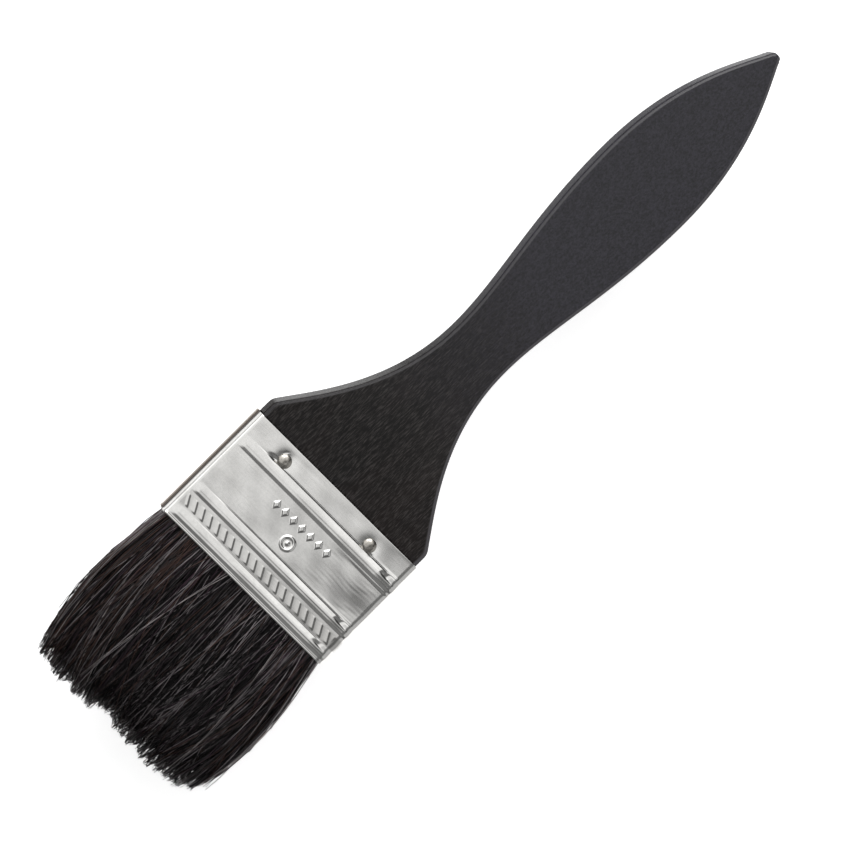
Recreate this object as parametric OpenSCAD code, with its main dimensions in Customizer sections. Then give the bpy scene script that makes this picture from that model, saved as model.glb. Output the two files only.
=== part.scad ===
// Flat varnish brush, two inches wide, lying on its back.
// X runs across the width, Y along the brush towards the handle's tip, Z up through its thickness.

/* [Handle] */
// Length of the handle that shows, from the ferrule's edge to the tip
handle_len = 141; // [125:0.5:160]
// Thickness of the handle's flat stock
handle_t = 8.6; // [8:0.1:9]
// Width of the handle at its fullest place
palm_w = 25; // [22:0.2:30]
// Width of the neck
neck_w = 15.4; // [14:0.2:19]
// Radius that breaks the handle's long edges
handle_edge_r = 1.2; // [1:0.1:2.4]
// Length of the tenon inside the ferrule
tenon_len = 12.5; // [10:0.5:14]

/* [Ferrule] */
// Width inside the ferrule, which is the brush's nominal two inches
ferrule_in_w = 50.4; // [48:0.1:53]
// Thickness inside the ferrule
ferrule_in_t = 8.4; // [8:0.1:9]
// Length of the ferrule
ferrule_len = 31.5; // [30:0.5:34]
// Thickness of the tinned sheet
sheet = 0.4; // [0.3:0.05:0.5]
// Radius of the ferrule's outer corners
corner_r = 1.2; // [0.8:0.1:2]
// How far each rolled rib stands out
rib_h = 0.4; // [0.2:0.05:0.5]
// Width of each rolled rib
rib_w = 3; // [2:0.1:3.2]
// Number of slanted marks in the rope band
rope_marks = 21; // [10:1:22]
// Slant of the rope marks, in degrees
rope_slant = 30; // [15:1:40]

/* [Nails] */
// Distance between the two nails on each face
nail_span = 27.6; // [20:0.2:34]
// Distance of the nails from the ferrule's edge
nail_inset = 4.1; // [3:0.1:4.4]
// Diameter of a nail's head
nail_head_d = 3.4; // [2.6:0.1:4]
// Diameter of a nail's shank
nail_d = 1.4; // [1:0.1:1.8]
// Length of a nail under its head
nail_len = 4.2; // [3.4:0.1:4.3]

/* [Bristles] */
// Length of the bristles outside the ferrule
bristle_len = 45.5; // [38:0.5:52]
// Fullest width of the tuft
tuft_w = 55; // [53:0.5:57]
// Fullest thickness of the tuft
tuft_t = 9.7; // [9:0.1:9.8]
// Thickness of the plug between the two layers of bristles
plug_t = 2.2; // [1.6:0.1:3]
// Length of the plug
plug_len = 10; // [8:0.5:11]
// Thickness of the cement over the bristles' butts
cement_t = 2.5; // [1.5:0.5:3]

/* [Hidden] */
$fn = 64;

ferrule_w = ferrule_in_w + 2 * sheet;
ferrule_t = ferrule_in_t + 2 * sheet;
brush_t = ferrule_t + 2 * rib_h;
total_len = handle_len + ferrule_len + bristle_len;
// Y of the ferrule's two edges, with the whole brush centred on the origin
edge_y = total_len / 2 - handle_len;
mouth_y = edge_y - ferrule_len;
mid_z = brush_t / 2;

// Handle outline: half widths and distances from the ferrule's edge
shoulder_hw = ferrule_in_w / 2 - 0.2;
palm_hw = palm_w / 2;
neck_hw = neck_w / 2;
palm_y = handle_len * 0.7;
neck_y = handle_len * 0.325;
flare_y = 4.6;
flare_hw = shoulder_hw - 0.6;
tip_hw = 1.1;
outline_steps = 13;
edge_steps = 4;
tenon_w = ferrule_in_w - 0.6;

// Distances from the ferrule's edge along the sheet
rib_at = [7.7, 22.1, 29.2];
rope_at = 25.7;
rope_len = 3;
rope_d = 1.5;
rope_pitch = (ferrule_w - 2 * corner_r) / rope_marks;
lip_r = 0.35;
rib_r = (pow(rib_w / 2, 2) + pow(rib_h, 2)) / (2 * rib_h);
seam_w = 2.6;
seam_h = 0.25;
lozenge = 2.2;
lozenge_h = 0.15;
lozenge_gap = 3.6;

// Inside the ferrule, and the heel that the free bristles turn on
butt_y = edge_y - tenon_len - cement_t;
heel_gap = 0.05;
heel_r = ferrule_in_t / 2 - heel_gap;
heel_hw = ferrule_in_w / 2 - heel_gap;
heel_corner = corner_r - sheet;
// The heel turns a little way outside the mouth, so that the tuft clears the lip when it bends
pivot_out = 1.6;
pivot_y = mouth_y - pivot_out;
root_setback = 1.2;
collar = 3.2;
plug_w = ferrule_in_w - 4;

function bezier(p, t) =
    pow(1 - t, 3) * p[0] + 3 * pow(1 - t, 2) * t * p[1]
    + 3 * (1 - t) * pow(t, 2) * p[2] + pow(t, 3) * p[3];

function slope(p, t) =
    pow(1 - t, 2) * (p[1] - p[0]) + 2 * (1 - t) * t * (p[2] - p[1]) + pow(t, 2) * (p[3] - p[2]);

// Each outline point is [half width, y, outward normal x, outward normal y]
function outline_point(p, t) =
    let (at = bezier(p, t), along = slope(p, t))
    [at.x, at.y, along.y / norm(along), -along.x / norm(along)];

handle_curves = [
    [[shoulder_hw, 0], [shoulder_hw, 1], [shoulder_hw, 2], [shoulder_hw, 2.6]],
    [[shoulder_hw, 2.6], [shoulder_hw, 3.4], [flare_hw + 0.42, flare_y - 0.6], [flare_hw, flare_y]],
    [[flare_hw, flare_y], [flare_hw - 5.6, flare_y + 8], [neck_hw, neck_y - 20], [neck_hw, neck_y]],
    [[neck_hw, neck_y], [neck_hw, neck_y + 15], [palm_hw, palm_y - 24], [palm_hw, palm_y]],
    [[palm_hw, palm_y], [palm_hw, palm_y + 23], [3.8, handle_len - 6.4], [tip_hw, handle_len - 0.4]]
];

handle_side = [
    for (i = [0:len(handle_curves) - 1])
        let (steps = i == 0 ? 1 : i == 1 ? 5 : outline_steps)
        for (k = [0:steps - 1]) outline_point(handle_curves[i], k / steps),
    [tip_hw, handle_len - 0.4, 0.9, 0.44],
    [tip_hw / 3, handle_len, 0.3, 0.95]
];

// The edge radius shrinks with the handle towards its tip
function inset_point(p, d, side) =
    let (share = min(1, p[0] / 4))
    [side * (p[0] - p[2] * d * share), p[1] - p[3] * d * share];

function ring(d, z) = concat(
    [for (p = handle_side) [each inset_point(p, d, 1), z]],
    [for (i = [len(handle_side) - 1:-1:0]) [each inset_point(handle_side[i], d, -1), z]]
);

edge_angles = [for (k = [0:edge_steps]) 90 * k / edge_steps];
rings = concat(
    [for (a = edge_angles) ring(
        handle_edge_r * (1 - sin(a)), -handle_t / 2 + handle_edge_r * (1 - cos(a)))],
    [for (a = edge_angles) ring(
        handle_edge_r * (1 - cos(a)), handle_t / 2 - handle_edge_r * (1 - sin(a)))]
);

module handle_blade() {
    count = len(rings[0]);
    top = (len(rings) - 1) * count;
    // The flat faces are laid in strips from side to side, because the outline is hollow at the neck
    strips = [
        for (i = [0:len(handle_side) - 2])
            let (j = i + 1)
            each [[i, j, count - 1 - j], [i, count - 1 - j, count - 1 - i]]
    ];
    walls = [
        for (k = [0:len(rings) - 2], i = [0:count - 1])
            let (a = k * count + i, b = k * count + (i + 1) % count)
            each [[a, a + count, b + count], [a, b + count, b]]
    ];
    upper = [for (s = strips) [top + s[0], top + s[2], top + s[1]]];
    polyhedron([for (r = rings) each r], concat(strips, upper, walls), convexity = 6);
}

// Turns a shape drawn along Z so that it runs along Y
module along_y(y) {
    translate([0, y, 0])
        rotate([-90, 0, 0])
            children();
}

module rounded_box_2d(w, t, r) {
    square([w - 2 * r, t], center = true);
    square([w, t - 2 * r], center = true);
    for (x = [-1, 1], z = [-1, 1])
        translate([x * (w / 2 - r), z * (t / 2 - r)])
            circle(r);
}

module nail_bore(side, face) {
    translate([side * nail_span / 2, edge_y - nail_inset, 0])
        rotate([face > 0 ? 0 : 180, 0, 0])
            translate([0, 0, ferrule_t / 2 - nail_len - 0.1])
                cylinder(d = nail_d, h = nail_len + 1);
}

module nail_bores() {
    for (side = [-1, 1], face = [-1, 1]) nail_bore(side, face);
}

module handle() {
    color([0.13, 0.13, 0.14])
        translate([0, 0, mid_z])
            difference() {
                union() {
                    translate([0, edge_y, 0]) handle_blade();
                    along_y(edge_y - tenon_len)
                        linear_extrude(tenon_len + 1)
                            rounded_box_2d(tenon_w, ferrule_in_t, heel_corner);
                }
                nail_bores();
            }
}

// The sheet cut along its length: X is how far it stands out, Y runs down to the mouth
module sheet_section() {
    difference() {
        union() {
            translate([-sheet, -ferrule_len]) square([sheet, ferrule_len]);
            for (at = rib_at)
                intersection() {
                    translate([rib_h - rib_r, -at]) circle(rib_r);
                    translate([-sheet, -at - rib_w / 2]) square([sheet + rib_h, rib_w]);
                }
            translate([-sheet + lip_r, lip_r - ferrule_len]) circle(lip_r);
        }
        for (at = rib_at)
            translate([rib_h - rib_r, -at]) circle(rib_r - sheet);
    }
}

module sheet_wall(length) {
    rotate([90, 0, 90])
        linear_extrude(length, center = true)
            sheet_section();
}

module sheet_band() {
    for (side = [0, 1]) {
        rotate([0, 0, 180 * side]) {
            translate([0, ferrule_t / 2, 0]) sheet_wall(ferrule_w - 2 * corner_r);
            translate([-ferrule_w / 2, 0, 0])
                rotate([0, 0, 90])
                    sheet_wall(ferrule_t - 2 * corner_r);
        }
        for (flip = [0, 1])
            mirror([flip, 0, 0])
                rotate([0, 0, 180 * side])
                    translate([ferrule_w / 2 - corner_r, ferrule_t / 2 - corner_r, 0])
                        rotate_extrude(angle = 90)
                            translate([corner_r, 0]) sheet_section();
    }
}

module rope_mark() {
    intersection() {
        rotate([90, 0, rope_slant])
            cylinder(d = rope_d, h = rope_len, center = true);
        translate([-rope_len, -rope_len, rope_d / 2 - rib_h - sheet / 2])
            cube([2 * rope_len, 2 * rope_len, rope_d]);
    }
}

module rope_band() {
    for (i = [0:rope_marks - 1])
        translate([(i - (rope_marks - 1) / 2) * rope_pitch, edge_y - rope_at, 0])
            translate([0, 0, ferrule_t / 2 + rib_h - rope_d / 2])
                rope_mark();
}

module lozenge_row() {
    for (i = [-2:2])
        translate([i * lozenge_gap, edge_y - (rib_at[0] + rib_at[1]) / 2, ferrule_t / 2 - sheet / 2])
            linear_extrude(sheet / 2 + lozenge_h)
                rotate(45) square(lozenge - abs(i) * 0.3, center = true);
}

module seam_fold() {
    translate([-ferrule_w / 2 - seam_h, mouth_y + 1, -seam_w / 2])
        cube([seam_h + sheet / 2, ferrule_len - 2, seam_w]);
}

module ferrule() {
    color([0.78, 0.78, 0.76])
        translate([0, 0, mid_z])
            difference() {
                union() {
                    along_y(edge_y) sheet_band();
                    for (turn = [0, 180]) rotate([0, turn, 0]) rope_band();
                    lozenge_row();
                    seam_fold();
                }
                nail_bores();
            }
}

module nail_section() {
    dome_h = rib_h;
    dome_r = (pow(nail_head_d / 2, 2) + pow(dome_h, 2)) / (2 * dome_h);
    point_len = nail_d;
    intersection() {
        translate([0, dome_h - dome_r]) circle(dome_r);
        square([nail_head_d / 2, dome_h]);
    }
    translate([0, point_len - nail_len]) square([nail_d / 2, nail_len - point_len]);
    polygon([[0, -nail_len], [nail_d / 2, point_len - nail_len], [0, point_len - nail_len]]);
}

module nail(side, face) {
    color([0.62, 0.6, 0.56])
        translate([side * nail_span / 2, edge_y - nail_inset, mid_z + face * ferrule_t / 2])
            rotate([face > 0 ? 0 : 180, 0, 0])
                rotate_extrude() nail_section();
}

module cement_setting() {
    color([0.55, 0.4, 0.22])
        translate([0, 0, mid_z])
            along_y(butt_y)
                linear_extrude(cement_t)
                    rounded_box_2d(ferrule_in_w, ferrule_in_t, heel_corner);
}

module filler_plug() {
    color([0.76, 0.62, 0.43])
        translate([-plug_w / 2, butt_y - plug_len, mid_z - plug_t / 2])
            cube([plug_w, plug_len, plug_t]);
}

// Keeps the half of a shape that lies in front (face 1) or at the back (face -1)
module layer(face) {
    intersection() {
        children();
        translate([-total_len / 2, -total_len, face > 0 ? 0 : -total_len])
            cube([total_len, 2 * total_len, total_len]);
    }
}

module bristle_roots(face) {
    color([0.1, 0.08, 0.08])
        translate([0, 0, mid_z])
            layer(face)
                difference() {
                    along_y(mouth_y + root_setback)
                        linear_extrude(butt_y - mouth_y - root_setback)
                            rounded_box_2d(ferrule_in_w, ferrule_in_t, heel_corner);
                    translate([0, pivot_y, 0])
                        rotate([0, 90, 0])
                            cylinder(r = ferrule_in_t / 2, h = ferrule_w, center = true);
                    translate([-plug_w / 2, butt_y - plug_len, -plug_t / 2])
                        cube([plug_w, plug_len, plug_t]);
                }
}

// A heel turned about a line across the brush, so that the tuft rocks without touching the ferrule
module heel() {
    translate([0, pivot_y, 0])
        rotate([0, 90, 0])
            rotate_extrude()
                intersection() {
                    rounded_box_2d(2 * heel_r, 2 * heel_hw, heel_corner);
                    translate([0, -heel_hw]) square([heel_r, 2 * heel_hw]);
                }
}

// Half outlines of the tuft: half width or half thickness, and distance from the mouth
tuft_side = [
    [heel_hw, collar],
    [tuft_w / 2 + 0.9, bristle_len * 0.27],
    [tuft_w / 2 + 2, bristle_len * 0.88],
    [tuft_w * 0.36, bristle_len]
];
tuft_face = [
    [heel_r, collar],
    [tuft_t / 2 + 0.45, bristle_len * 0.3],
    [tuft_t / 2 - 0.2, bristle_len * 0.75],
    [tuft_t * 0.17, bristle_len]
];

// Half a tuft's outline, mirrored to make the whole
function tuft_loop(curve) =
    let (half = [for (k = [0:outline_steps]) bezier(curve, k / outline_steps)])
    concat(half, [for (i = [outline_steps:-1:0]) [-half[i].x, half[i].y]]);

module tuft() {
    heel();
    along_y(mouth_y - collar)
        linear_extrude(collar - pivot_out)
            rounded_box_2d(2 * heel_hw, 2 * heel_r, heel_corner);
    translate([0, mouth_y, 0])
        intersection() {
            translate([0, 0, -brush_t])
                linear_extrude(2 * brush_t)
                    mirror([0, 1]) polygon(tuft_loop(tuft_side));
            rotate([0, 90, 0])
                linear_extrude(2 * tuft_w, center = true)
                    mirror([0, 1]) polygon(tuft_loop(tuft_face));
        }
}

module bristles(face) {
    color([0.13, 0.1, 0.1])
        translate([0, 0, mid_z])
            layer(face) tuft();
}

handle();
ferrule();
nail(-1, 1);  // nail_front_left
nail(1, 1);  // nail_front_right
nail(-1, -1);  // nail_back_left
nail(1, -1);  // nail_back_right
cement_setting();
filler_plug();
bristle_roots(1);  // bristle_roots_front
bristle_roots(-1);  // bristle_roots_back
bristles(1);  // bristles_front
bristles(-1);  // bristles_back
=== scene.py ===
"""Looks of the flat varnish brush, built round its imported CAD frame. Shapes are in millimetres."""

import math
from types import SimpleNamespace

import bpy
import numpy as np
from mathutils import Matrix, Vector


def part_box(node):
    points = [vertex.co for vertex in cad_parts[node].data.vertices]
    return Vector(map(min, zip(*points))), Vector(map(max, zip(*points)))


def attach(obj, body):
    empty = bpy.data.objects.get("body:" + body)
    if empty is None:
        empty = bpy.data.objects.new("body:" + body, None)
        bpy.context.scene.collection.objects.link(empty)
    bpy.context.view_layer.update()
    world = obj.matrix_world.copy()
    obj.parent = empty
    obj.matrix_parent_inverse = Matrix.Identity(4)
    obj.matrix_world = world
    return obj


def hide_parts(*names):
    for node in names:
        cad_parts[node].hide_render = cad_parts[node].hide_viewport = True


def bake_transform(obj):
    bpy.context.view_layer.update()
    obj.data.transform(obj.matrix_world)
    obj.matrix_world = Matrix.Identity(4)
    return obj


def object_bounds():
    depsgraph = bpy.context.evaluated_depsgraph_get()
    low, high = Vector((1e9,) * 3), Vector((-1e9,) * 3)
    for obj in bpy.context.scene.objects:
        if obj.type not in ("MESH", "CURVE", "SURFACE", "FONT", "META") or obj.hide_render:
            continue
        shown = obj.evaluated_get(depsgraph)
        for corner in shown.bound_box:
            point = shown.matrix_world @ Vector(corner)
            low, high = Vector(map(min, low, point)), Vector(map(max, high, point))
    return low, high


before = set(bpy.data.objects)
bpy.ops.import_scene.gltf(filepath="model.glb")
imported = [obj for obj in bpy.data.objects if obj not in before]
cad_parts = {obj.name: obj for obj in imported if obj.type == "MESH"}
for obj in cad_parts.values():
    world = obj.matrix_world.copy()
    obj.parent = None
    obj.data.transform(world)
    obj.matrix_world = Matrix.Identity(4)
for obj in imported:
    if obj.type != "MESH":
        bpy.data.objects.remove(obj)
cad_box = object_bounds()
MM = 0.001


def node_box(*nodes):
    """Lowest and highest corner of some CAD nodes together, in millimetres."""
    boxes = [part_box(n) for n in nodes]
    lo = np.min([np.array(b[0]) for b in boxes], axis=0) / MM
    hi = np.max([np.array(b[1]) for b in boxes], axis=0) / MM
    return lo, hi


# ---------------------------------------------------------------- sizes, from the frame

handle_lo, handle_hi = node_box("handle")
ferrule_lo, ferrule_hi = node_box("ferrule")
tuft_lo, _ = node_box("bristles_front", "bristles_back")
nail_lo, nail_hi = node_box("nail_front_right")

EDGE_Y = ferrule_hi[1]
MOUTH_Y = ferrule_lo[1]
MID_Z = (ferrule_lo[2] + ferrule_hi[2]) / 2
SHEET = 0.4
RIB_H = 0.4
FERRULE_HW = ferrule_hi[0] - RIB_H
FERRULE_HT = ferrule_hi[2] - MID_Z - RIB_H
FERRULE_LEN = EDGE_Y - MOUTH_Y
CORNER_R = 1.2
INNER_HW = FERRULE_HW - SHEET
INNER_HT = FERRULE_HT - SHEET
NAIL_X = (nail_lo[0] + nail_hi[0]) / 2
NAIL_S = EDGE_Y - (nail_lo[1] + nail_hi[1]) / 2
NAIL_R = (nail_hi[0] - nail_lo[0]) / 2
NAIL_LEN = nail_hi[2] - nail_lo[2]
BRISTLE_LEN = MOUTH_Y - tuft_lo[1]


# ---------------------------------------------------------------- mesh helpers


def smoothstep(x, a, b):
    """From 0 at a to 1 at b, level at both."""
    t = np.clip((x - a) / (b - a), 0, 1)
    return t * t * (3 - 2 * t)


def lobe(x, centre, half):
    """A parabola that is 1 at its centre and 0 from half away, with a crease at each foot."""
    return np.clip(1 - ((x - centre) / half) ** 2, 0, None)


def gauss(d, size):
    """A bell that is 1 at d = 0 and about a third at d = size."""
    return np.exp(-((d / size) ** 2))


def smooth_curve(points, step):
    """Places along a smooth (centripetal Catmull-Rom) curve through the points, about step apart at most."""
    points = np.vstack([2 * points[0] - points[1], points, 2 * points[-1] - points[-2]])
    curve = []
    for a, b, c, d in zip(points, points[1:], points[2:], points[3:]):
        steps = max(2, int(math.ceil(np.linalg.norm(c - b) / step)))
        ka, kb, kc = (max(1e-6, np.linalg.norm(q - p)) ** 0.5 for p, q in ((a, b), (b, c), (c, d)))
        m1 = (c - b) + kb * ((b - a) / ka - (c - a) / (ka + kb))
        m2 = (c - b) + kb * ((d - c) / kc - (d - b) / (kb + kc))
        for t in np.arange(steps) / steps:
            h = (2 * t**3 - 3 * t**2 + 1, t**3 - 2 * t**2 + t, -2 * t**3 + 3 * t**2, t**3 - t**2)
            curve.append(h[0] * b + h[1] * m1 + h[2] * c + h[3] * m2)
    curve.append(points[-2])
    return np.array(curve)


def grid_faces(rows, cols, wrap_rows=False, wrap_cols=False):
    """Quads of a grid of points numbered row by row."""
    r = np.arange(rows if wrap_rows else rows - 1)
    c = np.arange(cols if wrap_cols else cols - 1)
    r, c = np.meshgrid(r, c, indexing="ij")
    r2, c2 = (r + 1) % rows, (c + 1) % cols
    quads = np.stack([r * cols + c, r * cols + c2, r2 * cols + c2, r2 * cols + c], axis=-1)
    return quads.reshape(-1, 4)


def end_loops(rows, cols):
    """The two end faces of a grid that is wrapped round its columns, wound as its quads are."""
    last = [(rows - 1) * cols + i for i in range(cols)]
    return [list(reversed(range(cols))), last]


def add_mesh(name, points, faces, materials, ends=(), flip=False):
    """A smooth-shaded object from points, quads and any end faces; flip turns the faces over."""
    loops = np.asarray(faces).tolist() + [list(end) for end in ends]
    if flip:
        loops = [loop[::-1] for loop in loops]
    mesh = bpy.data.meshes.new(name)
    mesh.from_pydata((np.asarray(points) * MM).tolist(), [], loops)
    mesh.update()
    mesh.polygons.foreach_set("use_smooth", np.ones(len(mesh.polygons), bool))
    for material in materials:
        mesh.materials.append(material)
    obj = bpy.data.objects.new(name, mesh)
    bpy.context.scene.collection.objects.link(obj)
    return obj


# ---------------------------------------------------------------- material helpers


class Nodes:
    """A node tree with short ways to add nodes and links."""

    def __init__(self, name):
        self.material = bpy.data.materials.new(name)
        self.material.use_nodes = True
        self.tree = self.material.node_tree
        self.shader = self.tree.nodes["Principled BSDF"]

    def add(self, kind, **values):
        """A new node; each value goes to its property of that name, or else to its input."""
        node = self.tree.nodes.new(kind)
        for key, value in values.items():
            if hasattr(node, key):
                setattr(node, key, value)
            else:
                node.inputs[key.replace("_", " ")].default_value = value
        return node

    def link(self, source, target):
        self.tree.links.new(source, target)

    def set(self, **values):
        """Plain values for inputs of the shader."""
        for key, value in values.items():
            self.shader.inputs[key.replace("_", " ")].default_value = value

    def drive(self, socket, source):
        """Lets another node set an input of the shader."""
        self.link(source, self.shader.inputs[socket])

    def place(self, scale):
        """Object coordinates stretched by scale, so that a pattern can run along one axis."""
        coord = self.add("ShaderNodeTexCoord")
        mapping = self.add("ShaderNodeMapping", Scale=scale)
        self.link(coord.outputs["Object"], mapping.inputs["Vector"])
        return mapping.outputs["Vector"]

    def span(self, axis, low, high):
        """From 0 to 1 as a point's X, Y or Z goes from low to high, in millimetres."""
        coord = self.add("ShaderNodeTexCoord")
        split = self.add("ShaderNodeSeparateXYZ")
        self.link(coord.outputs["Object"], split.inputs[0])
        node = self.add("ShaderNodeMapRange", clamp=True)
        node.inputs["From Min"].default_value = low * MM
        node.inputs["From Max"].default_value = high * MM
        self.link(split.outputs[axis], node.inputs["Value"])
        return node.outputs["Result"]

    def noise(self, scale, detail=4.0, roughness=0.55, distortion=0.0):
        """Noise from 0 to 1 with scale cycles to a metre along X, Y and Z."""
        settings = dict(Scale=1.0, Detail=detail, Roughness=roughness, Distortion=distortion)
        node = self.add("ShaderNodeTexNoise", **settings)
        self.link(self.place(scale), node.inputs["Vector"])
        return node.outputs["Fac"]

    def ramp(self, source, stops):
        """Colours at places from 0 to 1; a stop is (place, colour) or (place, grey)."""
        node = self.add("ShaderNodeValToRGB")
        elements = node.color_ramp.elements
        while len(elements) < len(stops):
            elements.new(0.5)
        for element, (place, colour) in zip(elements, stops):
            element.position = place
            element.color = (colour,) * 3 + (1,) if isinstance(colour, float) else (*colour, 1)
        self.link(source, node.inputs["Fac"])
        return node.outputs["Color"]

    def mix(self, factor, a, b, blend="MIX"):
        """From a to b by factor; each is a node's output, a number or a colour."""
        node = self.add("ShaderNodeMix", data_type="RGBA", blend_type=blend)
        for socket, value in (("Factor", factor), ("A", a), ("B", b)):
            target = [s for s in node.inputs if s.name == socket and s.enabled][0]
            if isinstance(value, bpy.types.NodeSocket):
                self.link(value, target)
            else:
                target.default_value = value if isinstance(value, float) else (*value, 1)
        return [s for s in node.outputs if s.enabled][0]

    def math(self, operation, a, b=0.0):
        """Arithmetic on outputs of nodes or numbers."""
        node = self.add("ShaderNodeMath", operation=operation)
        for i, value in enumerate((a, b)):
            if isinstance(value, bpy.types.NodeSocket):
                self.link(value, node.inputs[i])
            else:
                node.inputs[i].default_value = value
        return node.outputs[0]

    def bump(self, height, distance, strength=1.0, after=None):
        """Fine relief of a depth in metres, on top of an earlier bump if there is one."""
        node = self.add("ShaderNodeBump", Strength=strength, Distance=distance)
        self.link(height, node.inputs["Height"])
        if after is not None:
            self.link(after, node.inputs["Normal"])
        return node.outputs["Normal"]


# ---------------------------------------------------------------- materials


def handle_paint():
    """Satin black paint: the grain shows as fine pale dashes low down; higher up it is mottled and bluer;
    both long rounded edges carry a painted highlight.
    """
    n = Nodes("handle_paint")
    dashes = n.noise((4600, 460, 4600), detail=3.0, roughness=0.7)
    streaks = n.noise((1500, 45, 1500), detail=5.0, roughness=0.65)
    mottle = n.noise((2300, 1500, 2300), detail=4.0, roughness=0.7)
    broad = n.noise((70, 25, 70), detail=3.0)
    upward = n.span("Y", EDGE_Y, handle_hi[1])
    along = n.math("ADD", upward, n.math("MULTIPLY", n.math("SUBTRACT", broad, 0.5), 0.25))
    black = n.ramp(broad, [(0.42, (0.0026, 0.0021, 0.0020)), (0.62, (0.0062, 0.0031, 0.0025))])
    low = n.mix(n.ramp(streaks, [(0.3, 0.0), (0.7, 0.6)]), black, (0.0075, 0.0066, 0.0064))
    low = n.mix(n.ramp(dashes, [(0.48, 0.0), (0.74, 1.0)]), low, (0.058, 0.052, 0.050))
    high = n.ramp(mottle, [(0.35, (0.002, 0.0017, 0.0034)), (0.65, (0.0225, 0.0205, 0.0300))])
    height = n.ramp(along, [(0.15, 0.0), (0.50, 1.0)])
    # From 0 where the surface looks left to 1 where it looks right; both long rounded edges are painted
    # lighter as a painted highlight, the right one most
    geometry = n.add("ShaderNodeNewGeometry")
    facing = n.add("ShaderNodeSeparateXYZ")
    n.link(geometry.outputs["Normal"], facing.inputs[0])
    sideways = n.math("ADD", n.math("MULTIPLY", facing.outputs["X"], 0.5), 0.5)
    left_edge_highlight = [(0.05, 0.0), (0.22, 0.3), (0.38, 0.3), (0.46, 0.0)]
    right_edge_highlight = [(0.52, 0.0), (0.62, 0.9), (0.82, 0.6), (0.97, 0.0)]
    edge_highlight = n.ramp(sideways, left_edge_highlight + right_edge_highlight)
    n.drive("Base Color", n.mix(edge_highlight, n.mix(height, low, high), (0.088, 0.084, 0.090)))
    # The left narrow side has lost its gloss
    matt = n.ramp(sideways, [(0.02, 0.015), (0.32, 1.0)])
    n.drive("Specular IOR Level", n.mix(1.0, matt, n.ramp(along, [(0.05, 0.20), (0.5, 0.5)]), "MULTIPLY"))
    n.drive("Roughness", n.ramp(mottle, [(0.3, 0.30), (0.7, 0.42)]))
    normal = n.bump(streaks, 0.00005, 0.5)
    n.drive("Normal", n.bump(mottle, 0.00003, 0.6, normal))
    return n.material


def tinplate():
    """Bright tinned sheet, scratched, with painted shade in the rope band that deepens to the right, and its
    seamed side brown and not metallic as painted reflection and shade.
    """
    n = Nodes("tinplate")
    scratches = n.noise((60, 2400, 2400), detail=5.0, roughness=0.7)
    clouds = n.noise((90, 160, 90), detail=4.0, distortion=0.6)
    specks = n.noise((1500, 1500, 1500), detail=2.0)
    colour = n.ramp(clouds, [(0.3, (0.72, 0.712, 0.692)), (0.7, (0.785, 0.777, 0.757))])
    colour = n.mix(0.10, colour, n.ramp(specks, [(0.35, 0.4), (0.6, 0.9)]), "MULTIPLY")
    # Painted shade: the rope band is darker, more so towards the right
    band = n.span("Y", EDGE_Y - ROPE_S - 1.7, EDGE_Y - ROPE_S + 1.8)
    inside = n.ramp(band, [(0.0, 0.0), (0.12, 1.0), (0.88, 1.0), (1.0, 0.0)])
    rightward = n.span("X", -FERRULE_HW, FERRULE_HW)
    rope_band_shade = n.mix(1.0, inside, n.ramp(rightward, [(0.1, 0.3), (0.9, 0.9)]), "MULTIPLY")
    colour = n.mix(rope_band_shade, colour, (0.50, 0.492, 0.475))
    # Painted reflection and shade on the left narrow side, below its top edge: not metallic there, and brown
    # from pale low down to dark near the top
    beyond = n.span("X", 0.65 - FERRULE_HW, 0.25 - FERRULE_HW)
    under = n.span("Z", MID_Z + 4.1, MID_Z + 3.3)
    painted_side = n.math("MULTIPLY", beyond, under)
    side_shades = [
        (0.0, (0.70, 0.67, 0.63)),
        (0.35, (0.36, 0.32, 0.28)),
        (0.6, (0.13, 0.108, 0.092)),
        (0.85, (0.03, 0.024, 0.02)),
    ]
    side_reflection = n.ramp(n.span("Z", MID_Z - 4.3, MID_Z + 3.2), side_shades)
    n.drive("Base Color", n.mix(painted_side, colour, side_reflection))
    n.drive("Metallic", n.math("SUBTRACT", 1.0, painted_side))
    n.drive("Specular IOR Level", n.ramp(painted_side, [(0.0, 0.5), (1.0, 0.05)]))
    n.drive("Roughness", n.mix(painted_side, n.ramp(scratches, [(0.3, 0.10), (0.75, 0.20)]), (0.6, 0.6, 0.6)))
    n.drive("Normal", n.bump(scratches, 0.000008, 0.5))
    return n.material


def nail_steel():
    """Dull warm steel with small hammer marks."""
    n = Nodes("nail_steel")
    marks = n.noise((1500, 1500, 1500), detail=3.0)
    n.drive("Base Color", n.ramp(marks, [(0.3, (0.34, 0.32, 0.29)), (0.7, (0.52, 0.50, 0.46))]))
    n.drive("Roughness", n.ramp(marks, [(0.3, 0.20), (0.7, 0.34)]))
    n.drive("Normal", n.bump(marks, 0.00004, 0.5))
    n.set(Metallic=1.0)
    return n.material


def amber_cement():
    """Cured epoxy, amber and slightly cloudy, with small bubbles."""
    n = Nodes("cement")
    cloud = n.noise((300, 300, 300), detail=4.0)
    bubbles = n.noise((2200, 2200, 2200), detail=1.0)
    n.drive("Base Color", n.ramp(cloud, [(0.3, (0.22, 0.10, 0.03)), (0.7, (0.42, 0.24, 0.09))]))
    n.drive("Roughness", n.ramp(bubbles, [(0.35, 0.2), (0.6, 0.4)]))
    n.drive("Normal", n.bump(bubbles, 0.00005, 0.6))
    n.set(Coat_Weight=0.3, Coat_Roughness=0.1)
    return n.material


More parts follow.
